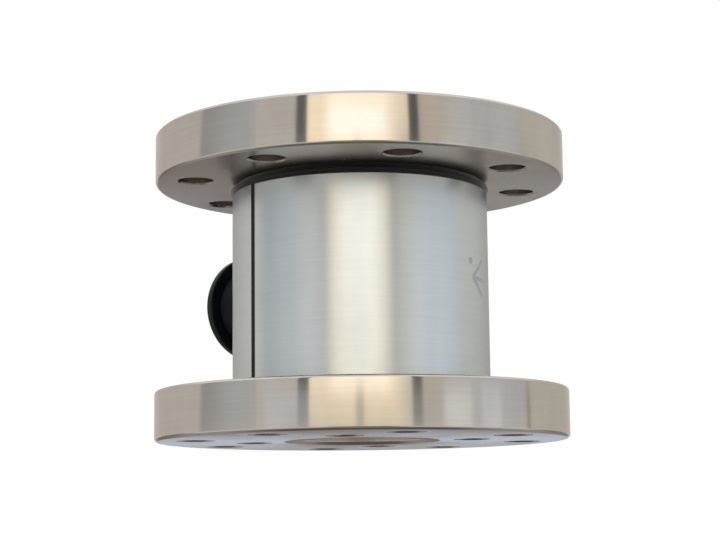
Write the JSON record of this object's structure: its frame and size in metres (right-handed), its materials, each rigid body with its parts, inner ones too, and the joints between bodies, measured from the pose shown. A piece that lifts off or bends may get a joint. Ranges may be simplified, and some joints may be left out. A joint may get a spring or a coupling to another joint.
{
  "type": "static torque sensor",
  "caption": "Flange-mounted reaction torque sensor: one-piece steel spool with bolted round flanges, a split round cover between them and a connector at the back.",
  "frame": {"origin": "centre of the lower flange's outer face, on the sensor's axis", "axes": "+Z along the sensor's axis from the lower to the upper flange, +Y towards the connector, +X to the right seen from the side opposite the connector"},
  "size_m": [0.1016, 0.1079, 0.0757],
  "materials": {
    "body_steel": "fine turned and ground",
    "cover_aluminium": "satin brushed along the axis",
    "black_seal": "smooth with a slight sheen",
    "gauge_film": "clear amber film",
    "lead_insulation": "smooth insulation",
    "board_laminate": "solder mask",
    "screw_steel": "plain",
    "resistor_body": "glazed",
    "black_anodised": "satin black anodised",
    "insert_plastic": "moulded",
    "contact_gold": "gold plated"
  },
  "bodies": {
    "root": {"torsion_body": "body_steel", "cover_front": "cover_aluminium", "cover_rear": "cover_aluminium", "split_seal_left": "black_seal", "split_seal_right": "black_seal", "upper_seal_ring": "black_seal", "lower_seal_ring": "black_seal", "gauge_1": "gauge_film", "gauge_2": "gauge_film", "gauge_3": "gauge_film", "gauge_4": "gauge_film", "gauge_harness": "lead_insulation", "terminal_board": "board_laminate", "board_screws": "screw_steel", "trim_resistors": "resistor_body", "connector_gasket": "black_seal", "connector_adapter": "black_anodised", "adapter_screws": "screw_steel", "connector_oring": "black_seal", "connector_shell": "black_anodised", "connector_insert": "insert_plastic", "contact_pins": "contact_gold", "connector_leads": "lead_insulation"}
  },
  "joints": []
}
